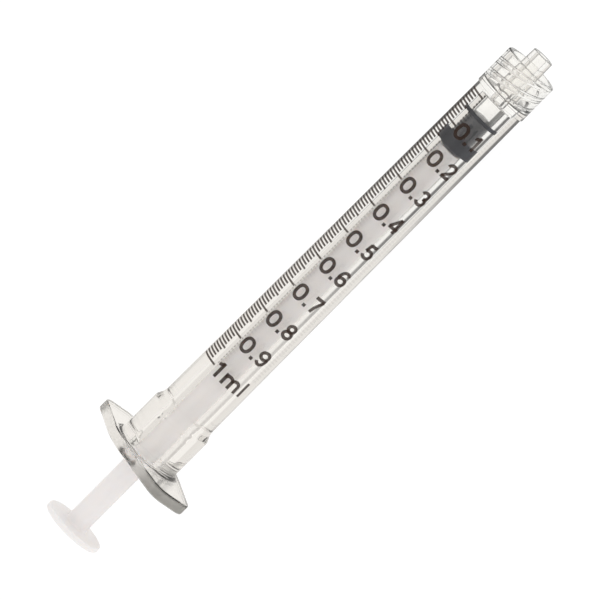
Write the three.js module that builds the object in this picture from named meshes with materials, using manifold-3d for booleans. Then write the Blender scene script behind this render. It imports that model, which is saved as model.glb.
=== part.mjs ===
// A 1 ml syringe with a Luer-lock tip, as its three separate solids: the clear barrel, the rubber
// stopper and the plunger rod. Millimetres. The syringe lies along X with its tip at +X, the long
// axis of the finger flange is Y, and the origin is under the middle of the syringe, on the
// surface that the flange stands on.
import * as THREE from "three";
import { mergeVertices } from "three/addons/utils/BufferGeometryUtils.js";
import Module from "manifold-3d";

const wasm = await Module();
wasm.setup();

// Measures along the axis count from the back face of the flange, towards the tip.

// Barrel bore and its scale
const BORE_DIAMETER = 4.49;
const CAPACITY = 1000; // mm3, between the zero mark and the last mark
const LAST_MARK_X = 21.55;
const BORE_PAST_ZERO = 0.6;
const BORE_CONE = 0.3;
const MOUTH_FLARE = 0.4;

// Barrel walls, from the bore outwards
const TUBE_REAR_WALL = 2.98;
const TUBE_FRONT_WALL = 2.545;
const GRIP_WALL = 3.695;
const GRIP_LENGTH = 10.35;
const SHOULDER_ROUNDING = 0.7; // of the step down from the grip to the tube
const SHOULDER_RUN = 1.5; // of the slope that ends the step
const BEAD_X = 8.5;
const BEAD_HEIGHT = 0.1; // the ring in the bore that keeps the stopper in
const BEAD_LENGTH = 0.6;

// Finger flange
const FLANGE_THICKNESS = 2.0;
const FLANGE_LENGTH = 27.4;
const FLANGE_MARGIN = 1.16; // from the grip to the middle of the flange's long side
const FLANGE_CROWN_RADIUS = 15.2;
const EAR_TAPER = THREE.MathUtils.degToRad(16);
const EAR_CORNER_RADIUS = 2.6;
const FLANGE_EDGE_RADIUS = 0.35;
const FLANGE_FILLET = 1.1;

// Lock collar and Luer tip
const END_WALL = 1.8;
const COLLAR_BACK = 0.7;
const COLLAR_ROOT_DIAMETER = 8.0;
const COLLAR_WALL = 1.02;
const COLLAR_DEPTH = 6.4;
const COLLAR_RIM_RADIUS = 0.35;
const THREAD_LEAD = 5.0;
const THREAD_STARTS = 2;
const THREAD_HEIGHT = 0.5;
const THREAD_FLOOR_INSET = 1.1;
const THREAD_RIM_INSET = 0.8;
const TIP_PROJECTION = 2.7;
const TIP_END_DIAMETER = 4.0;
const TIP_TAPER = 0.06; // diameter lost for each millimetre of length
const TIP_BORE_DIAMETER = 1.95;
const TIP_CHAMFER = 0.15;

// Stopper
const STOPPER_CLEARANCE = 0.02;
const STOPPER_FRONT_TO_END = 3.0; // from the stopper's face to the end of the bore, at rest
const STOPPER_LENGTH = 7.93;
const REAR_RIDGE_LENGTH = 2.9;
const FRONT_RIDGE_LENGTH = 0.6;
const WAIST_DEPTH = 0.13;
const WAIST_SLOPE = 0.25;
const FACE_DOME = 0.35;
const SOCKET_WALL = 0.74; // rubber round the socket, at the waist
const SOCKET_FRONT_WALL = 3.4;

// Plunger rod
const ROD_CLEARANCE = 0.165;
const ROD_EXPOSED = 15.45; // from the back of the flange to the thumb disc, at rest
const DISC_DIAMETER = 11.5;
const DISC_THICKNESS = 1.1;
const DISC_EDGE_RADIUS = 0.3;
const DISC_FILLET = 0.5;
const NECK_LENGTH = 1.6;
const HEAD_LIP = 0.45; // how far the head stands out from the neck
const HEAD_CHAMFER = 0.4;
const SOCKET_CLEARANCE = 0.06;
const ROD_GAP = 0.1; // between the rod's shoulder and the back of the stopper

// Facets
const SEGMENTS = 48;
const RIDGE_SIDES = 8;
const RIDGE_STEPS = 30;
const CUT_PAST = 1; // how far a cutting solid runs beyond what it cuts

// Places that follow from the sizes
const boreRadius = BORE_DIAMETER / 2;
const tubeRear = boreRadius + TUBE_REAR_WALL;
const tubeFront = boreRadius + TUBE_FRONT_WALL;
const gripRadius = boreRadius + GRIP_WALL;
const flangeWidth = 2 * (gripRadius + FLANGE_MARGIN);
const rootRadius = COLLAR_ROOT_DIAMETER / 2;
const rodRadius = boreRadius - ROD_CLEARANCE;
const ridgeRadius = boreRadius - STOPPER_CLEARANCE;
const waistRadius = ridgeRadius - WAIST_DEPTH;
const headRadius = waistRadius - SOCKET_WALL - SOCKET_CLEARANCE;
const neckRadius = headRadius - HEAD_LIP;
const scaleLength = CAPACITY / (Math.PI * boreRadius ** 2);
const boreEnd = LAST_MARK_X + scaleLength + BORE_PAST_ZERO;
const grooveFloor = boreEnd + END_WALL;
const collarEnd = grooveFloor + COLLAR_DEPTH;
const tipEnd = collarEnd + TIP_PROJECTION;
const collarStart = boreEnd + COLLAR_BACK;
const stopperFront = boreEnd - STOPPER_FRONT_TO_END;
const stopperRear = stopperFront - STOPPER_LENGTH;
const rodFront = stopperRear - ROD_GAP;
const discFront = -ROD_EXPOSED;
const discBack = discFront - DISC_THICKNESS;
const headRear = rodFront + NECK_LENGTH;
const headFront = stopperFront - SOCKET_FRONT_WALL - SOCKET_CLEARANCE;
const threadTurns = (COLLAR_DEPTH - THREAD_FLOOR_INSET - THREAD_RIM_INSET) / THREAD_LEAD;

// A closed geometry as a solid for joining and cutting.
function solidOf(geometry) {
  const closed = geometry.clone();
  closed.deleteAttribute("normal");
  closed.deleteAttribute("uv");
  const merged = mergeVertices(closed, 1e-4);
  return new wasm.Manifold(
    new wasm.Mesh({
      numProp: 3,
      vertProperties: merged.attributes.position.array,
      triVerts: new Uint32Array(merged.index.array),
    }),
  );
}

function geometryOf(solid) {
  const { vertProperties, triVerts } = solid.getMesh();
  const geometry = new THREE.BufferGeometry();
  geometry.setAttribute("position", new THREE.BufferAttribute(vertProperties, 3));
  geometry.setIndex(new THREE.BufferAttribute(triVerts, 1));
  geometry.computeVertexNormals();
  return geometry;
}

// A solid turned about the X axis from [x, radius] points, which start and end on the axis.
function turned(profile) {
  const points = profile.map(([x, radius]) => new THREE.Vector2(radius, x));
  return solidOf(new THREE.LatheGeometry(points, SEGMENTS).rotateZ(-Math.PI / 2));
}

// Points [x, radius] of a quarter-round or other arc about a centre, from one angle to another.
function arc(centreX, centreRadius, size, fromAngle, toAngle, steps = 3) {
  const points = [];
  for (let i = 0; i <= steps; i++) {
    const angle = THREE.MathUtils.degToRad(fromAngle + ((toAngle - fromAngle) * i) / steps);
    points.push([centreX + size * Math.cos(angle), centreRadius + size * Math.sin(angle)]);
  }
  return points;
}

// The flange's outline: two crowned long sides, straight tapering ears and rounded corners.
function flangeOutline() {
  const halfLength = FLANGE_LENGTH / 2;
  const crownCentre = flangeWidth / 2 - FLANGE_CROWN_RADIUS;
  const earDistance = FLANGE_CROWN_RADIUS + crownCentre * Math.cos(EAR_TAPER);
  const cornerX = halfLength - EAR_CORNER_RADIUS;
  const cornerY =
    (earDistance - EAR_CORNER_RADIUS - cornerX * Math.sin(EAR_TAPER)) / Math.cos(EAR_TAPER);
  const quarter = Math.PI / 2;
  const shape = new THREE.Shape();
  shape.moveTo(halfLength, -cornerY);
  shape.absarc(cornerX, cornerY, EAR_CORNER_RADIUS, 0, quarter - EAR_TAPER);
  shape.absarc(0, crownCentre, FLANGE_CROWN_RADIUS, quarter - EAR_TAPER, quarter + EAR_TAPER);
  shape.absarc(-cornerX, cornerY, EAR_CORNER_RADIUS, quarter + EAR_TAPER, 2 * quarter);
  shape.absarc(-cornerX, -cornerY, EAR_CORNER_RADIUS, 2 * quarter, 3 * quarter - EAR_TAPER);
  shape.absarc(
    0,
    -crownCentre,
    FLANGE_CROWN_RADIUS,
    3 * quarter - EAR_TAPER,
    3 * quarter + EAR_TAPER,
  );
  shape.absarc(cornerX, -cornerY, EAR_CORNER_RADIUS, 3 * quarter + EAR_TAPER, 4 * quarter);
  return shape;
}

// The flange plate, from x = 0 to its thickness, with its long axis along Y.
function flangePlate() {
  const plate = new THREE.ExtrudeGeometry(flangeOutline(), {
    depth: FLANGE_THICKNESS - 2 * FLANGE_EDGE_RADIUS,
    curveSegments: 12,
    bevelThickness: FLANGE_EDGE_RADIUS,
    bevelSize: FLANGE_EDGE_RADIUS,
    bevelOffset: -FLANGE_EDGE_RADIUS,
    bevelSegments: 2,
  });
  plate.translate(0, 0, FLANGE_EDGE_RADIUS);
  plate.rotateZ(Math.PI / 2);
  plate.rotateY(Math.PI / 2);
  return solidOf(plate);
}

// The centre line of one ridge of the collar's thread, a right-hand helix on the root cylinder.
class ThreadPath extends THREE.Curve {
  constructor(startAngle) {
    super();
    this.startAngle = startAngle;
  }

  getPoint(t, target = new THREE.Vector3()) {
    const angle = this.startAngle + 2 * Math.PI * threadTurns * t;
    return target.set(
      grooveFloor + THREAD_FLOOR_INSET + THREAD_LEAD * threadTurns * t,
      rootRadius * Math.cos(angle),
      rootRadius * Math.sin(angle),
    );
  }
}

function threadRidge(startAngle) {
  const section = [];
  for (let i = 0; i < RIDGE_SIDES; i++) {
    const angle = (2 * Math.PI * i) / RIDGE_SIDES;
    section.push(
      new THREE.Vector2(THREAD_HEIGHT * Math.cos(angle), THREAD_HEIGHT * Math.sin(angle)),
    );
  }
  return solidOf(
    new THREE.ExtrudeGeometry(new THREE.Shape(section), {
      steps: RIDGE_STEPS,
      extrudePath: new ThreadPath(startAngle),
    }),
  );
}

// The outside of the barrel without its flange and its hollows, tip included.
function barrelOutside() {
  const shoulder = SHOULDER_ROUNDING * (gripRadius - tubeRear);
  const collarRadius = rootRadius + COLLAR_WALL;
  const rim = COLLAR_RIM_RADIUS;
  const tipRadius = TIP_END_DIAMETER / 2;
  const tipBase = tipRadius + (TIP_TAPER * (tipEnd - grooveFloor)) / 2;
  const filletFront = FLANGE_THICKNESS + FLANGE_FILLET;
  return turned([
    [FLANGE_EDGE_RADIUS, 0],
    [FLANGE_EDGE_RADIUS, gripRadius],
    [FLANGE_THICKNESS - FLANGE_EDGE_RADIUS, gripRadius + FLANGE_FILLET],
    ...arc(filletFront, gripRadius + FLANGE_FILLET, FLANGE_FILLET, 180, 270),
    ...arc(GRIP_LENGTH, gripRadius - shoulder, shoulder, 90, 0),
    [GRIP_LENGTH + shoulder + SHOULDER_RUN, tubeRear],
    [collarStart, tubeFront],
    [collarStart, collarRadius],
    ...arc(collarEnd - rim, collarRadius - rim, rim, 90, 0),
    ...arc(collarEnd - rim, rootRadius + rim, rim, 0, -90),
    [grooveFloor, rootRadius],
    [grooveFloor, tipBase],
    [tipEnd - TIP_CHAMFER, tipRadius + (TIP_TAPER * TIP_CHAMFER) / 2],
    [tipEnd, tipRadius - TIP_CHAMFER],
    [tipEnd, 0],
  ]);
}

// What is cut out of the barrel along its axis: the flared mouth, the bore, and the tip's bore.
function barrelHollow() {
  const channel = TIP_BORE_DIAMETER / 2;
  const bead = boreRadius - BEAD_HEIGHT;
  return turned([
    [-CUT_PAST, 0],
    [-CUT_PAST, boreRadius + MOUTH_FLARE + CUT_PAST],
    [MOUTH_FLARE, boreRadius],
    [BEAD_X - BEAD_LENGTH, boreRadius],
    [BEAD_X - BEAD_LENGTH / 4, bead],
    [BEAD_X + BEAD_LENGTH / 4, bead],
    [BEAD_X + BEAD_LENGTH, boreRadius],
    [boreEnd, boreRadius],
    [boreEnd + BORE_CONE, channel],
    [tipEnd + CUT_PAST, channel],
    [tipEnd + CUT_PAST, 0],
  ]);
}

function barrel() {
  let solid = barrelOutside().add(flangePlate()).subtract(barrelHollow());
  for (let start = 0; start < THREAD_STARTS; start++)
    solid = solid.add(threadRidge((2 * Math.PI * start) / THREAD_STARTS));
  return solid;
}

// The stopper: a broad rear ridge, a waist, a narrow front ridge, and a socket for the rod's head.
function stopper() {
  const rearRidgeEnd = stopperRear + REAR_RIDGE_LENGTH;
  const frontRidgeStart = stopperFront - FACE_DOME - FRONT_RIDGE_LENGTH;
  const body = turned([
    [stopperRear, 0],
    [stopperRear, waistRadius - 2 * WAIST_DEPTH],
    [stopperRear + WAIST_DEPTH, waistRadius],
    [stopperRear + 3 * WAIST_DEPTH, ridgeRadius],
    [rearRidgeEnd, ridgeRadius],
    [rearRidgeEnd + WAIST_SLOPE, waistRadius],
    [frontRidgeStart - WAIST_SLOPE, waistRadius],
    [frontRidgeStart, ridgeRadius],
    [stopperFront - FACE_DOME, ridgeRadius],
    [stopperFront - FACE_DOME / 4, ridgeRadius / 2],
    [stopperFront, 0],
  ]);
  const neck = neckRadius + SOCKET_CLEARANCE;
  const head = headRadius + SOCKET_CLEARANCE;
  const socket = turned([
    [stopperRear - CUT_PAST, 0],
    [stopperRear - CUT_PAST, neck],
    [headRear - SOCKET_CLEARANCE, neck],
    [headRear - SOCKET_CLEARANCE, head],
    [headFront - HEAD_CHAMFER + SOCKET_CLEARANCE, head],
    [headFront + SOCKET_CLEARANCE, head - HEAD_CHAMFER],
    [headFront + SOCKET_CLEARANCE, 0],
  ]);
  return body.subtract(socket);
}

// The plunger rod: thumb disc, round rod, and the neck and head that hold the stopper.
function plungerRod() {
  const disc = DISC_DIAMETER / 2;
  const edge = DISC_EDGE_RADIUS;
  return turned([
    [discBack, 0],
    ...arc(discBack + edge, disc - edge, edge, 180, 90),
    ...arc(discFront - edge, disc - edge, edge, 90, 0),
    ...arc(discFront + DISC_FILLET, rodRadius + DISC_FILLET, DISC_FILLET, 180, 270),
    [rodFront, rodRadius],
    [rodFront, neckRadius],
    [headRear, neckRadius],
    [headRear, headRadius],
    [headFront - HEAD_CHAMFER, headRadius],
    [headFront, headRadius - HEAD_CHAMFER],
    [headFront, 0],
  ]);
}

function named(name, solid, look) {
  const mesh = new THREE.Mesh(geometryOf(solid), new THREE.MeshStandardMaterial(look));
  mesh.name = name;
  return mesh;
}

const clearPlastic = {
  color: 0xeef1ee,
  roughness: 0.08,
  metalness: 0,
  transparent: true,
  opacity: 0.35,
};
const darkRubber = { color: 0x3b3c42, roughness: 0.35, metalness: 0 };
const whitePlastic = { color: 0xece8e6, roughness: 0.4, metalness: 0 };

const syringe = new THREE.Group();
syringe.add(named("barrel", barrel(), clearPlastic));
syringe.add(named("stopper", stopper(), darkRubber));
syringe.add(named("plunger_rod", plungerRod(), whitePlastic));
syringe.position.set(-(discBack + tipEnd) / 2, 0, flangeWidth / 2);

export default syringe;
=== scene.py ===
"""A 1 ml Luer-lock syringe: clear barrel with printed scale, rubber stopper, white plunger rod."""

import math

import bpy
import numpy as np
from mathutils import Matrix, Vector


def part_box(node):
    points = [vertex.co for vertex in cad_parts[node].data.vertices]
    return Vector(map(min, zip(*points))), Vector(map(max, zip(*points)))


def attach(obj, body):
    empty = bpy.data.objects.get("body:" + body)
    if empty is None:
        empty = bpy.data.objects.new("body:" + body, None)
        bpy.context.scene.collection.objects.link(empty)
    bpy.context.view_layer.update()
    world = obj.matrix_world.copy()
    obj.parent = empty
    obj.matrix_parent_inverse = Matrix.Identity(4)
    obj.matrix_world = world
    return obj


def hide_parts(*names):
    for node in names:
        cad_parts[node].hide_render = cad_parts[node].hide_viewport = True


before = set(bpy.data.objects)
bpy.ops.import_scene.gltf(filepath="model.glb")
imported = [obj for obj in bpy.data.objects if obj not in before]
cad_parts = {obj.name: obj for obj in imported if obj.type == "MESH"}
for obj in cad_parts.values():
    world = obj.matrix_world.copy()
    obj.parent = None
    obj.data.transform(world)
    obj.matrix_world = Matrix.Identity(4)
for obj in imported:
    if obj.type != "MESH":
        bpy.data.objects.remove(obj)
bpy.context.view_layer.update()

MM = 0.001

# ---------------------------------------------------------------- sizes, in millimetres
# Measures along the axis count from the back face of the flange, towards the tip.

CAPACITY = 1000  # cubic millimetres between the first mark and the last
BORE_RADIUS = 2.245
LAST_MARK = 21.55
SCALE_LENGTH = CAPACITY / (math.pi * BORE_RADIUS**2)
BORE_END = LAST_MARK + SCALE_LENGTH + 0.6
MOUTH_DEPTH = 0.6  # the bore flares over this length at its mouth
MOUTH_FLARE = 0.45
BEAD_START = 7.9  # the bead in the bore that keeps the plunger from falling out
BEAD_END = 9.1
BEAD_FLANK = 0.4
BEAD_RADIUS = 2.15
OUTLINE_START = 5.0  # the barrel's section starts and ends in the plain bore before the bead
OUTLINE_END = 5.6

FLANGE_THICKNESS = 2.0
FLANGE_LENGTH = 27.4
FLANGE_WIDTH = 14.2
FLANGE_CROWN_RADIUS = 15.2
EAR_TAPER = math.radians(16)
EAR_CORNER_RADIUS = 2.6
FLANGE_EDGE = 0.35  # how far the flange's edges are rounded
FLANGE_FILLET = 1.1

GRIP_RADIUS = 5.94
GRIP_LENGTH = 10.85
SHOULDER_RADIUS = 5.36
SHOULDER_STEP = 1.1  # the length of the step down from the grip
SHOULDER_RUN = 1.5  # from the grip's end to the start of the plain tube
TUBE_REAR_RADIUS = 5.225
TUBE_FRONT_RADIUS = 4.79

COLLAR_START = BORE_END + 0.7
COLLAR_RADIUS = 5.02
GROOVE_FLOOR = BORE_END + 1.8
COLLAR_END = GROOVE_FLOOR + 6.4
ROOT_RADIUS = 4.0
THREAD_LEAD = 5.0
THREAD_STARTS = 2
THREAD_HEIGHT = 0.5
THREAD_CREST = 0.5
THREAD_FLANK = 0.35
THREAD_START = GROOVE_FLOOR + 0.5
THREAD_END = COLLAR_END - 0.7
THREAD_FADE = 0.5  # over which each ridge runs out

TIP_END = COLLAR_END + 2.7
TIP_END_RADIUS = 2.0
TIP_TAPER = 0.03  # radius gained for each millimetre back from the tip's end
CHANNEL_RADIUS = 0.975

STOPPER_FACE = BORE_END - 3.0
STOPPER_REAR = STOPPER_FACE - 7.93
RIDGE_RADIUS = BORE_RADIUS + 0.01  # the rubber presses on the bore
REAR_RIDGE = (0.33, 2.9)  # from the stopper's rear, after its chamfer
REAR_SLOPE = 0.22  # the step from this ridge down to the waist
FRONT_RIDGE = 0.7
FRONT_SLOPE = 0.05
REAR_LAND_RADIUS = 1.8
WAIST_RADIUS = 2.095
FACE_DOME = 0.35
SOCKET = (1.44, 4.53)  # from the stopper's rear
SOCKET_RADIUS = 1.36
SOCKET_MOUTH_RADIUS = 0.91

ROD_RADIUS = 2.08
ROD_GAP = 0.05  # between the rod's end and the stopper's rear
HEAD = (1.55, 4.52)  # from the rod's end, past the neck
HEAD_RADIUS = 1.3
NECK_RADIUS = 0.85
DISC_RADIUS = 5.75
DISC_FRONT = -15.45
DISC_BACK = -16.55
GATE_DEPTH = 0.12  # the sunk gate mark in the middle of the disc's back
GATE_RADIUS = 0.75
GATE_SLOPE = 0.1
DISH_DEPTH = 0.05  # the shallow dish round the gate mark
DISH_RADIUS = 1.6

SIDES = 288  # facets round every turned piece
ARC_STEPS = 7  # facets round every rounded edge
POLE_RADIUS = 0.05  # where the fan starts that closes the end of a turned piece

# ---------------------------------------------------------------- places, from the frame

barrel_low, barrel_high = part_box("barrel")
AXIS_Z = (barrel_low.z + barrel_high.z) / 2
BACK_FACE_X = barrel_low.x


def along(x):
    """The frame's X of a place x millimetres in front of the flange's back face."""
    return BACK_FACE_X + x * MM


# ---------------------------------------------------------------- outlines

def rounded(corners):
    """A line through corners (x, radius, rounding, rows), each corner rounded by an arc.

    rows is how many points lie on the straight run that follows the corner."""
    points = []
    count = len(corners)
    tangents = []
    for i, (x, r, rounding, _) in enumerate(corners):
        here = np.array([x, r])
        if i in (0, count - 1) or rounding == 0:
            tangents.append((here, here, None))
            continue
        before = np.array(corners[i - 1][:2]) - here
        after = np.array(corners[i + 1][:2]) - here
        room = 0.48 * min(np.hypot(*before), np.hypot(*after))
        before /= np.hypot(*before)
        after /= np.hypot(*after)
        half = 0.5 * math.acos(np.clip(before @ after, -1, 1))
        reach = min(rounding / math.tan(half), room)
        size = reach * math.tan(half)
        middle = here + (before + after) / np.hypot(*(before + after)) * size / math.sin(half)
        tangents.append((here + before * reach, here + after * reach, middle))
    for i, (start, end, middle) in enumerate(tangents):
        if middle is None:
            points.append(start)
        else:
            first = start - middle
            last = end - middle
            turn = math.atan2(first[0] * last[1] - first[1] * last[0], first @ last)
            for k in range(ARC_STEPS + 1):
                a = turn * k / ARC_STEPS
                spun = np.array([
                    first[0] * math.cos(a) - first[1] * math.sin(a),
                    first[0] * math.sin(a) + first[1] * math.cos(a),
                ])
                points.append(middle + spun)
        if i < count - 1:
            target = tangents[i + 1][0]
            rows = corners[i][3]
            # Rows bunch towards both ends, which keeps the shading of the rounded edges tight.
            for k in range(1, rows + 1):
                share = 0.5 - 0.5 * math.cos(math.pi * k / (rows + 1))
                points.append(end + (target - end) * share)
    return np.array(points)


def flange_reach(angle):
    """How far the flange reaches from the axis at an angle from its long axis."""
    direction = np.array([abs(math.cos(angle)), abs(math.sin(angle))])
    crown_centre = FLANGE_WIDTH / 2 - FLANGE_CROWN_RADIUS
    ear_normal = np.array([math.sin(EAR_TAPER), math.cos(EAR_TAPER)])
    ear_distance = FLANGE_CROWN_RADIUS + crown_centre * math.cos(EAR_TAPER)
    corner_x = FLANGE_LENGTH / 2 - EAR_CORNER_RADIUS
    corner_y = (ear_distance - EAR_CORNER_RADIUS - corner_x * ear_normal[0]) / ear_normal[1]

    def to_circle(centre, size):
        ahead = direction @ centre
        return ahead + math.sqrt(max(size**2 - centre @ centre + ahead**2, 0))

    crown = to_circle(np.array([0, crown_centre]), FLANGE_CROWN_RADIUS)
    crown_point = crown * direction
    if crown_point[0] <= FLANGE_CROWN_RADIUS * ear_normal[0]:
        return crown
    corner_centre = np.array([corner_x, corner_y])
    ear = ear_distance / (direction @ ear_normal)
    ear_end = corner_centre + EAR_CORNER_RADIUS * ear_normal
    if (ear * direction)[0] <= ear_end[0]:
        return ear
    end = FLANGE_LENGTH / 2 / direction[0]
    if (end * direction)[1] <= corner_y:
        return end
    return to_circle(corner_centre, EAR_CORNER_RADIUS)


def thread_height(x, angle):
    """Height of the collar's thread ridges above the root wall."""
    pitch = THREAD_LEAD / THREAD_STARTS
    phase = (x - THREAD_LEAD * angle / (2 * math.pi)) / pitch
    from_crest = abs(phase - round(phase)) * pitch
    ridge = np.clip((THREAD_CREST / 2 + THREAD_FLANK - from_crest) / THREAD_FLANK, 0, 1)
    fade = np.clip(min(x - THREAD_START, THREAD_END - x) / THREAD_FADE, 0, 1)
    return THREAD_HEIGHT * ridge * fade * fade * (3 - 2 * fade)


def barrel_outline(angle):
    """The barrel's closed section at one angle round its axis, as [x, radius] points."""
    reach = flange_reach(angle)
    base = TIP_END_RADIUS + TIP_TAPER * (TIP_END - GROOVE_FLOOR)
    return rounded([
        # the bore's mouth
        (OUTLINE_START, BORE_RADIUS, 0, 3),
        (MOUTH_DEPTH, BORE_RADIUS, 0.4, 0),
        (0.0, BORE_RADIUS + MOUTH_FLARE, 0.15, 8),
        # the flange
        (0.0, reach, FLANGE_EDGE, 3),
        (FLANGE_THICKNESS, reach, FLANGE_EDGE, 6),
        (FLANGE_THICKNESS, GRIP_RADIUS, FLANGE_FILLET, 6),
        # the shoulder and the tube
        (GRIP_LENGTH - SHOULDER_STEP / 2, GRIP_RADIUS, 0.9, 1),
        (GRIP_LENGTH + SHOULDER_STEP / 2, SHOULDER_RADIUS, 0.9, 2),
        (GRIP_LENGTH + SHOULDER_RUN, TUBE_REAR_RADIUS, 1.5, 24),
        (COLLAR_START, TUBE_FRONT_RADIUS, 0.05, 0),
        # the lock collar, outside and then inside
        (COLLAR_START + 0.05, COLLAR_RADIUS, 0.06, 8),
        (COLLAR_END, COLLAR_RADIUS, 0.35, 1),
        (COLLAR_END, ROOT_RADIUS, 0.35, 90),
        (GROOVE_FLOOR, ROOT_RADIUS, 0.3, 4),
        # the tip and its channel
        (GROOVE_FLOOR, base, 0.3, 14),
        (TIP_END, TIP_END_RADIUS, 0.15, 2),
        (TIP_END, CHANNEL_RADIUS, 0.08, 14),
        (BORE_END + 0.3, CHANNEL_RADIUS, 0.05, 3),
        # the bore and its bead
        (BORE_END, BORE_RADIUS, 0.15, 30),
        (BEAD_END, BORE_RADIUS, 0.2, 0),
        (BEAD_END - BEAD_FLANK, BEAD_RADIUS, 0.15, 0),
        (BEAD_START + BEAD_FLANK, BEAD_RADIUS, 0.15, 0),
        (BEAD_START, BORE_RADIUS, 0.2, 3),
        (OUTLINE_END, BORE_RADIUS, 0, 0),
    ])


# ---------------------------------------------------------------- meshes

def add_piece(name, data):
    piece = bpy.data.objects.new(name, data)
    bpy.context.scene.collection.objects.link(piece)
    return piece


def grid_mesh(name, rings, closed):
    """A mesh from rings of points round the axis. A closed one joins its last ring to its first;
    an open one starts and ends on the axis, where each end is closed by a fan."""
    rows, sides, _ = rings.shape
    faces = []
    last_row = rows if closed else rows - 1
    for i in range(last_row):
        j = (i + 1) % rows
        for k in range(sides):
            n = (k + 1) % sides
            faces.append((i * sides + k, i * sides + n, j * sides + n, j * sides + k))
    vertices = rings.reshape(-1, 3)
    if not closed:
        poles = np.array([rings[0].mean(0), rings[-1].mean(0)])
        first_pole = len(vertices)
        vertices = np.vstack([vertices, poles])
        last = (rows - 1) * sides
        for k in range(sides):
            n = (k + 1) % sides
            faces.append((first_pole, n, k))
            faces.append((last + k, last + n, first_pole + 1))
    mesh = bpy.data.meshes.new(name)
    mesh.from_pydata(vertices.tolist(), [], faces)
    mesh.shade_smooth()
    return add_piece(name, mesh)


def around(points, angle):
    """[x, radius] points in millimetres, placed at an angle round the syringe's axis."""
    x = BACK_FACE_X + points[:, 0] * MM
    y = points[:, 1] * MM * math.cos(angle)
    z = AXIS_Z + points[:, 1] * MM * math.sin(angle)
    return np.stack([x, y, z], axis=1)


def make_barrel():
    sections = []
    for k in range(SIDES):
        angle = 2 * math.pi * k / SIDES
        points = barrel_outline(angle)
        for p in points:
            on_root_wall = GROOVE_FLOOR < p[0] < COLLAR_END and abs(p[1] - ROOT_RADIUS) < 0.01
            if on_root_wall:
                p[1] -= thread_height(p[0], angle)
        sections.append(around(points, angle))
    rings = np.array(sections).transpose(1, 0, 2)
    return grid_mesh("barrel_clear", rings, closed=True)


def turned(name, corners):
    """A piece turned about the axis from corners, as rounded() takes them, off the axis."""
    points = rounded(corners)
    sections = [around(points, 2 * math.pi * k / SIDES) for k in range(SIDES)]
    return grid_mesh(name, np.array(sections).transpose(1, 0, 2), closed=False)


def make_stopper():
    rear = STOPPER_REAR
    face = STOPPER_FACE
    ridge = face - FACE_DOME - FRONT_RIDGE
    return turned("stopper_rubber", [
        # the socket for the rod's head
        (rear + SOCKET[1], POLE_RADIUS, 0, 2),
        (rear + SOCKET[1], SOCKET_RADIUS, 0.3, 4),
        (rear + SOCKET[0], SOCKET_RADIUS, 0.1, 1),
        (rear + SOCKET[0], SOCKET_MOUTH_RADIUS, 0.1, 2),
        (rear, SOCKET_MOUTH_RADIUS, 0.1, 3),
        # the rear ridge and the waist
        (rear, REAR_LAND_RADIUS, 0.2, 2),
        (rear + REAR_RIDGE[0], RIDGE_RADIUS, 0.35, 12),
        (rear + REAR_RIDGE[1], RIDGE_RADIUS, 0.1, 1),
        (rear + REAR_RIDGE[1] + REAR_SLOPE, WAIST_RADIUS, 0.15, 12),
        (ridge - FRONT_SLOPE, WAIST_RADIUS, 0.03, 1),
        # the front ridge and the domed face
        (ridge, RIDGE_RADIUS, 0.03, 4),
        (face - FACE_DOME, RIDGE_RADIUS, 0.04, 4),
        (face - FACE_DOME / 4, RIDGE_RADIUS / 2, 1.2, 4),
        (face, POLE_RADIUS, 0, 0),
    ])


def make_rod():
    end = STOPPER_REAR - ROD_GAP
    return turned("plunger_rod_white", [
        # the gate mark and the thumb disc
        (DISC_BACK + GATE_DEPTH, POLE_RADIUS, 0, 2),
        (DISC_BACK + GATE_DEPTH, GATE_RADIUS, 0.05, 1),
        (DISC_BACK + DISH_DEPTH, GATE_RADIUS + GATE_SLOPE, 0.05, 4),
        (DISC_BACK, DISH_RADIUS, 0.3, 8),
        (DISC_BACK, DISC_RADIUS, 0.3, 3),
        (DISC_FRONT, DISC_RADIUS, 0.3, 8),
        # the rod
        (DISC_FRONT, ROD_RADIUS, 0.5, 40),
        (end, ROD_RADIUS, 0.08, 2),
        # the neck and the head
        (end, NECK_RADIUS, 0.05, 3),
        (end + HEAD[0], NECK_RADIUS, 0.05, 1),
        (end + HEAD[0], HEAD_RADIUS, 0.1, 3),
        (end + HEAD[1], HEAD_RADIUS, 0.3, 2),
        (end + HEAD[1], POLE_RADIUS, 0, 0),
    ])


# ---------------------------------------------------------------- printed scale
# Angles round the barrel count from the line that faces the reader, turning by the right-hand
# rule about the axis. Numerals read that way round, with their tops towards the tip.

READER_ANGLE = math.radians(140)
TICK_PITCH = SCALE_LENGTH / 100
TICK_WIDTH = 0.34
TICK_START = math.radians(-77)
TICK_ENDS = {1: math.radians(-42), 5: math.radians(-37.5), 10: math.radians(-28)}
INK_UNDER = 0.012  # how far a mark's slab is sunk in the wall, and stands over it
INK_OVER = 0.018
CAP_HEIGHT = 2.97
NUMERAL_LEAD = 0.1  # from the middle of a mark to the middle of its label
STROKE = 0.2  # of the cap height
LONGEST_STEP = 0.12  # of the cap height, between points along a stroke
BOW_STEPS = 28
RING_STEPS = 48
TICK_STEPS = 24
ZERO_MARK = LAST_MARK + SCALE_LENGTH


def tube_radius(x):
    """The tube's outside radius, x millimetres in front of the flange's back face."""
    shoulder_end = GRIP_LENGTH + SHOULDER_RUN
    share = (x - shoulder_end) / (COLLAR_START - shoulder_end)
    return TUBE_REAR_RADIUS + (TUBE_FRONT_RADIUS - TUBE_REAR_RADIUS) * share


def bow(cx, cy, rx, ry, start, end):
    """Points on an ellipse from one angle to another, in degrees."""
    angles = np.radians(np.linspace(start, end, BOW_STEPS + 1))
    return [(cx + rx * math.cos(a), cy + ry * math.sin(a)) for a in angles]


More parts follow.
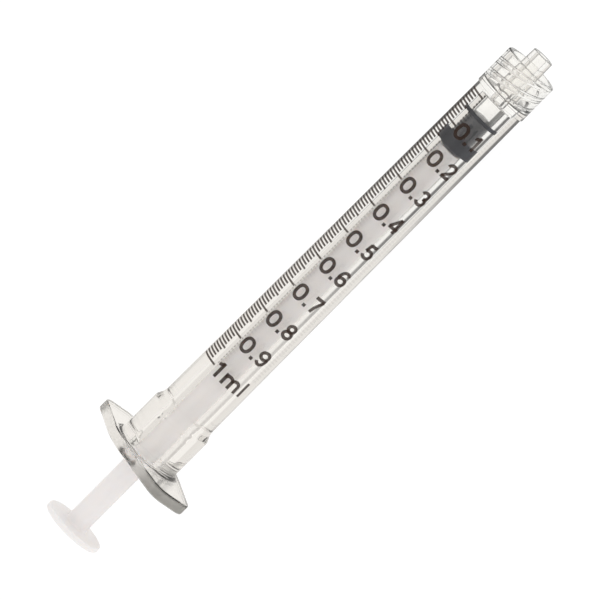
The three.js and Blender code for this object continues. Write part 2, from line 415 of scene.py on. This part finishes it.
def ring(cx, cy, rx, ry, squareness=2.0):
    """Points round a closed oval, squarer than an ellipse where squareness is over 2."""
    points = []
    for a in np.linspace(0, 2 * math.pi, RING_STEPS + 1):
        c, s = math.cos(a), math.sin(a)
        points.append((
            cx + rx * math.copysign(abs(c) ** (2 / squareness), c),
            cy + ry * math.copysign(abs(s) ** (2 / squareness), s),
        ))
    return points


def upside_down(strokes, width):
    """Strokes turned half a turn, within a character of the given width."""
    return [[(width - x, 1 - y) for x, y in stroke] for stroke in strokes]


SIX = [
    ring(0.365, 0.31, 0.28, 0.228),
    bow(0.385, 0.50, 0.30, 0.418, 190, 38),
]
# Each character's strokes, in cap heights, from the foot of its left side.
CHARACTERS = {
    "0": [ring(0.37, 0.5, 0.288, 0.418, 2.35)],
    "1": [[(0.36, 0), (0.36, 1)], bow(0.04, 0.98, 0.30, 0.21, -86, -8)],
    "2": [
        bow(0.37, 0.69, 0.27, 0.228, 172, -28) + [(0.45, 0.42), (0.24, 0.25), (0.13, 0.10)],
        [(0.05, 0.083), (0.67, 0.083)],
    ],
    "3": [
        bow(0.36, 0.71, 0.235, 0.208, 165, -88),
        bow(0.36, 0.295, 0.275, 0.212, 88, -168),
    ],
    "4": [
        [(0.50, 0), (0.50, 1)],
        [(0.02, 0.28), (0.70, 0.28)],
        [(0.47, 0.96), (0.07, 0.30)],
    ],
    "5": [
        [(0.17, 0.918), (0.64, 0.918)],
        [(0.21, 0.95), (0.14, 0.48)],
        bow(0.355, 0.325, 0.28, 0.242, 140, -160),
    ],
    "6": SIX,
    "7": [
        [(0.04, 0.918), (0.69, 0.918)],
        [(0.66, 0.90), (0.48, 0.62), (0.35, 0.32), (0.29, 0)],
    ],
    "8": [
        ring(0.365, 0.715, 0.235, 0.203),
        ring(0.365, 0.295, 0.28, 0.213),
    ],
    "9": upside_down(SIX, 0.73),
    ".": [[(0.1, 0), (0.1, 0.20)]],
    "m": [
        [(0.083, 0), (0.083, 0.73)],
        bow(0.32, 0.45, 0.237, 0.20, 180, 0) + [(0.557, 0)],
        bow(0.79, 0.45, 0.237, 0.20, 180, 0) + [(1.03, 0)],
    ],
    "l": [[(0.1, 0), (0.1, 1)]],
}
# Where each label's characters start, in degrees round the barrel.
NUMERAL_STARTS = (-22.0, 8.0, 18.5)
LAST_LABEL = "1ml"
LAST_LABEL_STARTS = (-25.0, 1.0, 46.0)


def stroke_sides(points, width):
    """Both sides of a stroke of constant width along points, as two arrays."""
    line = np.array(points, float)
    step = np.gradient(line, axis=0)
    if np.allclose(line[0], line[-1]):
        step[0] = step[-1] = line[1] - line[-2]
    step /= np.hypot(step[:, 0], step[:, 1])[:, None]
    normal = np.stack([-step[:, 1], step[:, 0]], axis=1)
    return line + normal * width / 2, line - normal * width / 2


class Ink:
    """Collects thin curved slabs of ink that lie on the tube."""

    def __init__(self):
        self.vertices = []
        self.faces = []

    def slab(self, left, right):
        """A slab between two lines of (angle, x) points of the same length."""
        base = len(self.vertices)
        count = len(left)
        for lift in (INK_OVER, -INK_UNDER):
            for side in (left, right):
                for angle, x in side:
                    turn = READER_ANGLE + angle
                    radius = (tube_radius(x) + lift) * MM
                    self.vertices.append((
                        along(x),
                        radius * math.cos(turn),
                        AXIS_Z + radius * math.sin(turn),
                    ))
        a, b, c, d = (base + count * i for i in range(4))
        for k in range(count - 1):
            self.faces += [
                (a + k, a + k + 1, b + k + 1, b + k),
                (c + k, d + k, d + k + 1, c + k + 1),
                (a + k, c + k, c + k + 1, a + k + 1),
                (b + k, b + k + 1, d + k + 1, d + k),
            ]
        e = count - 1
        self.faces += [(a, b, d, c), (a + e, c + e, d + e, b + e)]

    def piece(self, name):
        mesh = bpy.data.meshes.new(name)
        mesh.from_pydata(self.vertices, [], self.faces)
        return add_piece(name, mesh)


def make_ticks():
    ink = Ink()
    for k in range(101):
        x = ZERO_MARK - k * TICK_PITCH
        rank = 10 if k % 10 == 0 else 5 if k % 5 == 0 else 1
        angles = np.linspace(TICK_START, TICK_ENDS[rank], TICK_STEPS)
        ink.slab(
            [(a, x + TICK_WIDTH / 2) for a in angles],
            [(a, x - TICK_WIDTH / 2) for a in angles],
        )
    return ink.piece("scale_ticks")


def dense(points):
    """The same line with points added until no two are further apart than LONGEST_STEP."""
    out = [points[0]]
    for p, q in zip(points, points[1:]):
        parts = max(1, math.ceil(math.dist(p, q) / LONGEST_STEP))
        out += [(p[0] + (q[0] - p[0]) * i / parts, p[1] + (q[1] - p[1]) * i / parts)
                for i in range(1, parts + 1)]
    return out


def write(ink, text, starts, x_middle):
    """Adds a label whose characters start at the given degrees round the barrel."""
    foot = x_middle + NUMERAL_LEAD - CAP_HEIGHT / 2
    radius = tube_radius(x_middle)
    for character, start in zip(text, starts):
        for stroke in CHARACTERS[character]:
            sides = stroke_sides(dense(stroke), STROKE)
            left, right = (
                [(math.radians(start) + x * CAP_HEIGHT / radius, foot + y * CAP_HEIGHT)
                 for x, y in side]
                for side in sides
            )
            ink.slab(left, right)


def make_numerals():
    ink = Ink()
    for tenth in range(1, 10):
        write(ink, f"0.{tenth}", NUMERAL_STARTS, ZERO_MARK - 10 * tenth * TICK_PITCH)
    write(ink, LAST_LABEL, LAST_LABEL_STARTS, LAST_MARK)
    return ink.piece("scale_numerals")


# ---------------------------------------------------------------- material effects

class Graph:
    """Short ways to add and join the nodes of a material or a node group."""

    def __init__(self, tree):
        self.tree = tree

    def add(self, kind, **values):
        """A node; values set its inputs, or join them where the value is another node's output."""
        node = self.tree.nodes.new(kind)
        for key, value in values.items():
            self.put(node.inputs[key.replace("_", " ")], value)
        return node

    def put(self, socket, value):
        if isinstance(value, bpy.types.NodeSocket):
            self.tree.links.new(value, socket)
        else:
            socket.default_value = value

    def math(self, operation, *values):
        node = self.tree.nodes.new("ShaderNodeMath")
        node.operation = operation
        for socket, value in zip(node.inputs, values):
            self.put(socket, value)
        return node.outputs[0]

    def plus(self, first, second):
        return self.math("ADD", first, second)

    def times(self, first, *others):
        for other in others:
            first = self.math("MULTIPLY", first, other)
        return first

    def without(self, mask):
        """One where a mask is nothing, and nothing where it is one."""
        return self.math("SUBTRACT", 1.0, mask)

    def axes(self, vector):
        """A vector's X, Y and Z, as outputs by name."""
        return self.add("ShaderNodeSeparateXYZ", Vector=vector).outputs

    def noise(self, vector, scale, detail=2.0, roughness=0.5):
        node = self.add("ShaderNodeTexNoise", Vector=vector, Scale=scale, Detail=detail,
                        Roughness=roughness)
        return node.outputs["Fac"]

    def stretched(self, vector, x, y, z):
        node = self.tree.nodes.new("ShaderNodeMapping")
        node.inputs["Scale"].default_value = (x, y, z)
        self.put(node.inputs["Vector"], vector)
        return node.outputs["Vector"]

    def remap(self, value, low, high, to_low, to_high, smooth=False):
        node = self.tree.nodes.new("ShaderNodeMapRange")
        if smooth:
            node.interpolation_type = "SMOOTHSTEP"
        for socket, number in zip(node.inputs, (value, low, high, to_low, to_high)):
            self.put(socket, number)
        return node.outputs["Result"]

    def blend(self, factor, first, second):
        node = self.tree.nodes.new("ShaderNodeMix")
        node.data_type = "RGBA"
        self.put(node.inputs["Factor"], factor)
        colours = [i for i in node.inputs if i.type == "RGBA"]
        self.put(colours[0], first)
        self.put(colours[1], second)
        return [o for o in node.outputs if o.type == "RGBA"][0]


def new_group(name, inputs, outputs):
    """An empty node group with named sockets, and its graph, input node and output node."""
    group = bpy.data.node_groups.new(name, "ShaderNodeTree")
    for label, kind, default in inputs:
        socket = group.interface.new_socket(label, in_out="INPUT", socket_type=kind)
        if default is not None:
            socket.default_value = default
    for label, kind in outputs:
        group.interface.new_socket(label, in_out="OUTPUT", socket_type=kind)
    graph = Graph(group)
    return group, graph, group.nodes.new("NodeGroupInput"), group.nodes.new("NodeGroupOutput")


FLOAT = "NodeSocketFloat"
COLOUR = "NodeSocketColor"
VECTOR = "NodeSocketVector"


def moulded_skin():
    """The skin of moulded plastic: melt-flow waves along the piece, a fine grain and hairlines.

    Place is in millimetres. Height is in millimetres too."""
    group, graph, given, result = new_group(
        "moulded_skin",
        [
            ("Place", VECTOR, None),
            ("Wave Height", FLOAT, 0.002),
            ("Grain Height", FLOAT, 0.0005),
            ("Roughness", FLOAT, 0.1),
            ("Roughness Spread", FLOAT, 0.05),
        ],
        [("Roughness", FLOAT), ("Height", FLOAT), ("Flow", FLOAT)],
    )
    place = given.outputs["Place"]
    flow = graph.noise(graph.stretched(place, 0.12, 0.5, 0.5), 1.0, 2.0, 0.45)
    grain = graph.noise(place, 9.0, 3.0, 0.6)
    hairline_place = graph.stretched(place, 0.25, 7.0, 7.0)
    hairlines = graph.remap(graph.noise(hairline_place, 1.0, 1.0), 0.66, 0.72, 0.0, 1.0)
    height = graph.plus(
        graph.times(flow, given.outputs["Wave Height"]),
        graph.times(grain, given.outputs["Grain Height"]),
    )
    uneven = graph.plus(graph.math("SUBTRACT", grain, 0.5), graph.times(hairlines, 0.5))
    rough = graph.plus(
        given.outputs["Roughness"],
        graph.times(uneven, given.outputs["Roughness Spread"]),
    )
    graph.put(result.inputs["Roughness"], graph.math("MAXIMUM", rough, 0.0))
    graph.put(result.inputs["Height"], height)
    graph.put(result.inputs["Flow"], flow)
    return group


def rubber_skin():
    """Moulded rubber under silicone oil: matt pores where the oil is thin, glossy where it lies."""
    group, graph, given, result = new_group(
        "rubber_skin",
        [
            ("Place", VECTOR, None),
            ("Colour", COLOUR, (0.05, 0.05, 0.06, 1)),
            ("Bloom Colour", COLOUR, (0.09, 0.09, 0.10, 1)),
            ("Pore Height", FLOAT, 0.004),
        ],
        [("Colour", COLOUR), ("Roughness", FLOAT), ("Oil", FLOAT), ("Height", FLOAT)],
    )
    place = given.outputs["Place"]
    pores = graph.add("ShaderNodeTexVoronoi", Vector=place, Scale=7.0).outputs["Distance"]
    fine = graph.noise(place, 14.0, 3.0, 0.65)
    patches = graph.noise(place, 0.9, 3.0, 0.6)
    oil = graph.remap(patches, 0.35, 0.62, 0.25, 1.0, smooth=True)
    bloom = graph.times(
        graph.remap(fine, 0.5, 0.8, 0.0, 0.6),
        graph.without(graph.times(oil, 0.7)),
    )
    graph.put(result.inputs["Colour"], graph.blend(
        bloom, given.outputs["Colour"], given.outputs["Bloom Colour"]))
    graph.put(result.inputs["Roughness"], graph.remap(fine, 0.2, 0.8, 0.34, 0.5))
    graph.put(result.inputs["Oil"], oil)
    depth = graph.plus(graph.times(pores, 0.6), graph.times(fine, 0.4))
    graph.put(result.inputs["Height"], graph.times(depth, given.outputs["Pore Height"]))
    return group


def printed_film():
    """A pad-printed ink film: a mottled layer with thin spots, orange-peel and tiny pinholes."""
    group, graph, given, result = new_group(
        "printed_film",
        [
            ("Place", VECTOR, None),
            ("Ink", COLOUR, (0.03, 0.02, 0.015, 1)),
            ("Thin Ink", COLOUR, (0.09, 0.06, 0.045, 1)),
        ],
        [("Colour", COLOUR), ("Roughness", FLOAT), ("Height", FLOAT)],
    )
    place = given.outputs["Place"]
    mottle = graph.noise(place, 3.2, 4.0, 0.6)
    peel = graph.noise(place, 11.0, 2.0, 0.5)
    holes = graph.add("ShaderNodeTexVoronoi", Vector=place, Scale=5.0).outputs["Distance"]
    pinholes = graph.remap(holes, 0.03, 0.09, 1.0, 0.0)
    thin = graph.math("MAXIMUM", graph.remap(mottle, 0.5, 0.8, 0.0, 0.8), pinholes)
    graph.put(result.inputs["Colour"], graph.blend(
        thin, given.outputs["Ink"], given.outputs["Thin Ink"]))
    graph.put(result.inputs["Roughness"], graph.remap(peel, 0.25, 0.75, 0.38, 0.58))
    graph.put(result.inputs["Height"], graph.times(peel, 0.004))
    return group


MOULDED_SKIN = moulded_skin()
RUBBER_SKIN = rubber_skin()
PRINTED_FILM = printed_film()

# ---------------------------------------------------------------- materials

PAINTED_EDGE_SHADE = (8.0, 36.0)  # the frame's X, in millimetres, where the shade starts and is full
RIM_START = (6.4, 6.8)  # from the axis: where the flange's grained rim begins
TIP_SKIN_RADIUS = 2.3  # the tip's outside lies within this


def new_material(name):
    material = bpy.data.materials.new(name)
    material.use_nodes = True
    return material, Graph(material.node_tree), material.node_tree.nodes["Principled BSDF"]


def millimetres(graph):
    """The place on the piece, in millimetres."""
    place = graph.tree.nodes.new("ShaderNodeTexCoord").outputs["Object"]
    return graph.stretched(place, 1000, 1000, 1000)


def effect(graph, group, **values):
    """A node group placed in a material with its own values; gives its outputs."""
    node = graph.tree.nodes.new("ShaderNodeGroup")
    node.node_tree = group
    for key, value in values.items():
        graph.put(node.inputs[key.replace("_", " ")], value)
    return node.outputs


def relief(graph, shader, height):
    """Bump from a height in millimetres."""
    bump = graph.add("ShaderNodeBump", Height=height, Strength=1.0, Distance=MM)
    graph.put(shader.inputs["Normal"], bump.outputs["Normal"])


def from_axis(graph, axes):
    """Distance from the syringe's axis, in millimetres."""
    lift = graph.math("SUBTRACT", axes["Z"], AXIS_Z / MM)
    square = graph.plus(graph.math("POWER", axes["Y"], 2.0), graph.math("POWER", lift, 2.0))
    return graph.math("SQRT", square)


def clear_plastic():
    material, graph, shader = new_material("clear_plastic")
    place = millimetres(graph)
    skin = effect(graph, MOULDED_SKIN, Place=place, Wave_Height=0.006, Grain_Height=0.00006,
                  Roughness=0.004, Roughness_Spread=0.02)
    axes = graph.axes(place)
    radius = from_axis(graph, axes)
    # The flange's rim keeps the spark-eroded grain of its mould; the flat sides are polished.
    facing = graph.axes(graph.tree.nodes.new("ShaderNodeNewGeometry").outputs["Normal"])
    side_on = graph.remap(graph.math("ABSOLUTE", facing["X"]), 0.5, 0.9, 1.0, 0.0)
    rim = graph.times(side_on, graph.remap(radius, *RIM_START, 0.0, 1.0))
    end_on = graph.remap(graph.math("ABSOLUTE", facing["Y"]), 0.42, 0.55, 0.0, 1.0)
    ear_end = graph.times(rim, end_on)
    grain = graph.plus(graph.times(rim, 0.3), graph.times(ear_end, 0.18))
    graph.put(shader.inputs["Roughness"], graph.plus(skin["Roughness"], grain))
    # Painted shade: towards the collar the tube's colour goes near black where it is seen edge-on,
    # which darkens its outline. The tip's outline is painted dark the same way.
    glance = graph.tree.nodes.new("ShaderNodeLayerWeight").outputs["Facing"]
    edge = graph.remap(glance, 0.5, 0.62, 0.0, 1.0, smooth=True)
    forward = graph.remap(axes["X"], *PAINTED_EDGE_SHADE, 0.0, 1.0, smooth=True)
    on_tube = graph.math("LESS_THAN", axes["X"], along(COLLAR_START) / MM)
    on_tip = graph.times(
        graph.math("LESS_THAN", radius, TIP_SKIN_RADIUS),
        graph.math("GREATER_THAN", axes["X"], along(GROOVE_FLOOR) / MM),
    )
    shaded = graph.math("MAXIMUM", graph.times(forward, on_tube), graph.times(on_tip, 0.75))
    shade = graph.times(edge, shaded)
    tint = graph.blend(skin["Flow"], (1.0, 0.995, 0.985, 1), (0.985, 0.98, 0.965, 1))
    dulled = graph.blend(ear_end, tint, (0.90, 0.91, 0.88, 1))
    # painted shade: the colour blends to near black along the outline
    graph.put(shader.inputs["Base Color"], graph.blend(shade, dulled, (0.004, 0.004, 0.0035, 1)))
    relief(graph, shader, skin["Height"])
    shader.inputs["Transmission Weight"].default_value = 1
    shader.inputs["IOR"].default_value = 1.53
    absorb = graph.add("ShaderNodeVolumeAbsorption", Color=(0.86, 0.83, 0.80, 1), Density=12)
    graph.put(graph.tree.nodes["Material Output"].inputs["Volume"], absorb.outputs["Volume"])
    return material


def dark_rubber():
    material, graph, shader = new_material("dark_rubber")
    place = millimetres(graph)
    skin = effect(graph, RUBBER_SKIN, Place=place, Colour=(0.034, 0.036, 0.045, 1),
                  Bloom_Colour=(0.065, 0.067, 0.078, 1), Pore_Height=0.006)
    graph.put(shader.inputs["Base Color"], skin["Colour"])
    graph.put(shader.inputs["Roughness"], skin["Roughness"])
    shader.inputs["Specular IOR Level"].default_value = 0.15
    # The ridges wet the bore, so no light is thrown back from them.
    axes = graph.axes(place)
    dry = graph.remap(from_axis(graph, axes), WAIST_RADIUS + 0.01, WAIST_RADIUS + 0.05, 1.0, 0.0)
    waist = graph.times(skin["Oil"], 0.2, dry)
    dome = along(STOPPER_FACE - FACE_DOME) / MM
    face = graph.remap(axes["X"], dome, dome + 0.05, 0.0, 1.0)
    graph.put(shader.inputs["Coat Weight"], graph.math("MAXIMUM", waist, face))
    shader.inputs["Coat Roughness"].default_value = 0.05
    shader.inputs["Coat IOR"].default_value = 1.9
    relief(graph, shader, skin["Height"])
    return material


def white_plastic():
    material, graph, shader = new_material("white_plastic")
    skin = effect(graph, MOULDED_SKIN, Place=millimetres(graph), Wave_Height=0.012,
                  Grain_Height=0.003, Roughness=0.4, Roughness_Spread=0.16)
    graph.put(shader.inputs["Base Color"], graph.blend(
        skin["Flow"], (0.83, 0.805, 0.80, 1), (0.81, 0.785, 0.78, 1)))
    graph.put(shader.inputs["Roughness"], skin["Roughness"])
    relief(graph, shader, skin["Height"])
    shader.inputs["Subsurface Weight"].default_value = 0.5
    shader.inputs["Subsurface Radius"].default_value = (1.0, 0.9, 0.8)
    shader.inputs["Subsurface Scale"].default_value = 0.002
    return material


def scale_ink():
    material, graph, shader = new_material("scale_ink")
    film = effect(graph, PRINTED_FILM, Place=millimetres(graph), Ink=(0.036, 0.016, 0.009, 1),
                  Thin_Ink=(0.075, 0.042, 0.028, 1))
    graph.put(shader.inputs["Base Color"], film["Colour"])
    graph.put(shader.inputs["Roughness"], film["Roughness"])
    shader.inputs["Specular IOR Level"].default_value = 0.25
    shader.inputs["Alpha"].default_value = 0.7
    relief(graph, shader, film["Height"])
    return material


# ---------------------------------------------------------------- the pieces

barrel = make_barrel()
barrel.data.materials.append(clear_plastic())
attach(barrel, "barrel")
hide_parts("barrel")

ink_material = scale_ink()
for marks in (make_ticks(), make_numerals()):
    marks.data.materials.append(ink_material)
    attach(marks, "barrel")

stopper = make_stopper()
stopper.data.materials.append(dark_rubber())
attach(stopper, "stopper")
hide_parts("stopper")

rod = make_rod()
rod.data.materials.append(white_plastic())
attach(rod, "plunger")
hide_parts("plunger_rod")

# ---------------------------------------------------------------- studio
# Bands and places on the floor are the frame's own X and Y, in millimetres. A band gives where it
# starts, is full, stops being full and ends; a pair gives where a change starts and ends.

FLOOR_SIZE = 3.0  # metres, each way from the middle
FLOOR_WHITE = 0.94
TENT_WHITE = 0.9
SEEN_THROUGH = (0.77, 0.745, 0.71)  # the tent, as the clear walls bend it into view
SEEN_THROUGH_TIP = (0.84, 0.835, 0.815)
WARM_END = (-25.0, 40.0)  # from one of these colours to the other
# painted contact shadow under the barrel, in the floor's light
CONTACT_SHADOW = (-3.2, -0.6, 2.9, 3.9)
SHADOW_START = (-24.0, 24.0)
SHADOW_END = (46.0, 49.0)
# painted shadow band at the back of the floor, in the floor's light
BACK_SHADOW_BAND = (27.0, 33.0, 60.0, 90.0)
BACK_SHADOW_START = (-20.0, 20.0)
BACK_SHADOW_DEPTH = 0.8
SHADOW_LIGHT = 0.04  # what is left of the floor's light in full shadow
DARK_OPENING = 0.12
FILL_LIGHT = 1.35

VIEW_ROLL = math.radians(50)  # how far round the axis the reader stands from straight above
VIEW_TILT = math.radians(10.68)  # how far the reader stands towards the tip
VIEW_DISTANCE = 1.083  # metres
VIEW_CENTRE = 38.6  # the place on the axis that the view is centred on
FOCAL_OVER_WIDTH = 10.877
SENSOR_WIDTH = 36


def grey(level):
    return (level, level, level, 1)


def fill_light(graph, path):
    """Whether a ray lights a piece that scatters light, and how brightly: what the clear walls
    take away is given back to the pieces inside them."""
    scattered = graph.math("GREATER_THAN", path["Diffuse Depth"], 0.5)
    inside = graph.math("GREATER_THAN", path["Transmission Depth"], 0.5)
    return scattered, graph.blend(inside, grey(1), grey(FILL_LIGHT))


def band(graph, value, edges):
    """One between the edges of a band, fading to nothing outside it."""
    near = graph.remap(value, edges[0], edges[1], 0.0, 1.0, smooth=True)
    far = graph.remap(value, edges[2], edges[3], 1.0, 0.0, smooth=True)
    return graph.times(near, far)


def make_floor():
    mesh = bpy.data.meshes.new("floor")
    corners = [(x * FLOOR_SIZE, y * FLOOR_SIZE, 0) for x, y in ((-1, -1), (1, -1), (1, 1), (-1, 1))]
    mesh.from_pydata(corners, [], [(0, 1, 2, 3)])
    floor = add_piece("floor", mesh)
    material, graph, shader = new_material("floor_white")
    shader.inputs["Base Color"].default_value = grey(0.12)
    shader.inputs["Roughness"].default_value = 0.9
    shader.inputs["Specular IOR Level"].default_value = 0
    # Painted shadows in the floor's light: a soft contact shadow under the barrel's front half, and
    # a soft shadow band at the back of the floor, which show only through the clear walls.
    axes = graph.axes(millimetres(graph))
    start = graph.remap(axes["X"], *SHADOW_START, 0.3, 1.0, smooth=True)
    end = graph.remap(axes["X"], *SHADOW_END, 1.0, 0.0, smooth=True)
    contact = graph.times(band(graph, axes["Y"], CONTACT_SHADOW), end)
    back_shadow = graph.times(
        band(graph, axes["Y"], BACK_SHADOW_BAND),
        graph.remap(axes["X"], *BACK_SHADOW_START, 0.0, BACK_SHADOW_DEPTH, smooth=True),
    )
    shade = graph.times(start, graph.math("MAXIMUM", contact, back_shadow))
    path = graph.tree.nodes.new("ShaderNodeLightPath").outputs
    direct = path["Is Camera Ray"]
    scattered, fill = fill_light(graph, path)
    shown = graph.without(graph.math("MAXIMUM", direct, scattered))
    warm = graph.remap(axes["X"], *WARM_END, 0.0, 1.0, smooth=True)
    bent = graph.blend(warm, (*SEEN_THROUGH, 1), (*SEEN_THROUGH_TIP, 1))
    unseen = graph.blend(scattered, bent, fill)
    graph.put(shader.inputs["Emission Color"], graph.blend(direct, unseen, grey(FLOOR_WHITE)))
    graph.put(shader.inputs["Emission Strength"], graph.remap(
        graph.times(shade, shown), 0.0, 1.0, 1.0, SHADOW_LIGHT))
    mesh.materials.append(material)


def make_world():
    """A bright tent with one dark opening, behind the syringe and above the horizon."""
    world = bpy.data.worlds.new("studio")
    bpy.context.scene.world = world
    world.use_nodes = True
    graph = Graph(world.node_tree)
    axes = graph.axes(graph.tree.nodes.new("ShaderNodeTexCoord").outputs["Generated"])
    forward = graph.remap(axes["X"], -0.12, 0.05, 0.0, 1.0, smooth=True)
    behind = graph.remap(axes["Y"], 0.25, 0.5, 0.0, 1.0, smooth=True)
    above = band(graph, axes["Z"], (0.0, 0.06, 0.2, 0.36))
    opening = graph.times(forward, behind, above)
    path = graph.tree.nodes.new("ShaderNodeLightPath").outputs
    scattered, fill = fill_light(graph, path)
    bent = graph.blend(opening, (*SEEN_THROUGH, 1), grey(DARK_OPENING))
    unseen = graph.blend(scattered, bent, fill)
    background = world.node_tree.nodes["Background"]
    graph.put(background.inputs["Color"], graph.blend(
        path["Is Camera Ray"], unseen, grey(TENT_WHITE)))


def make_lamp(name, place, size, power):
    """A round soft lamp that points at the frame's origin."""
    lamp = bpy.data.lights.new(name, "AREA")
    lamp.shape = "DISK"
    lamp.size = size
    lamp.energy = power
    piece = add_piece(name, lamp)
    piece.location = place
    piece.rotation_euler = (-Vector(place)).to_track_quat("-Z", "Y").to_euler()


def make_camera():
    """A long lens on the reader's side, with the syringe running from corner to corner."""
    camera = bpy.data.cameras.new("camera")
    camera.sensor_width = SENSOR_WIDTH
    camera.lens = SENSOR_WIDTH * FOCAL_OVER_WIDTH
    camera.clip_start = 0.05
    camera.clip_end = 20
    axis = Vector((1, 0, 0))
    reader = Vector((0, -math.sin(VIEW_ROLL), math.cos(VIEW_ROLL)))
    across = axis.cross(reader)
    back = math.sin(VIEW_TILT) * axis + math.cos(VIEW_TILT) * reader
    forward = math.cos(VIEW_TILT) * axis - math.sin(VIEW_TILT) * reader
    right = (forward + across).normalized()
    up = (forward - across).normalized()
    place = Vector((along(VIEW_CENTRE), 0, AXIS_Z)) + VIEW_DISTANCE * back
    turn = Matrix((right, up, back)).transposed().to_4x4()
    piece = add_piece("camera", camera)
    piece.matrix_world = Matrix.Translation(place) @ turn
    bpy.context.scene.camera = piece


make_floor()
make_world()
make_lamp("lamp_over", (-0.3, -0.3, 0.9), 0.9, 0.4)
make_camera()
bpy.context.scene.view_settings.view_transform = "Standard"
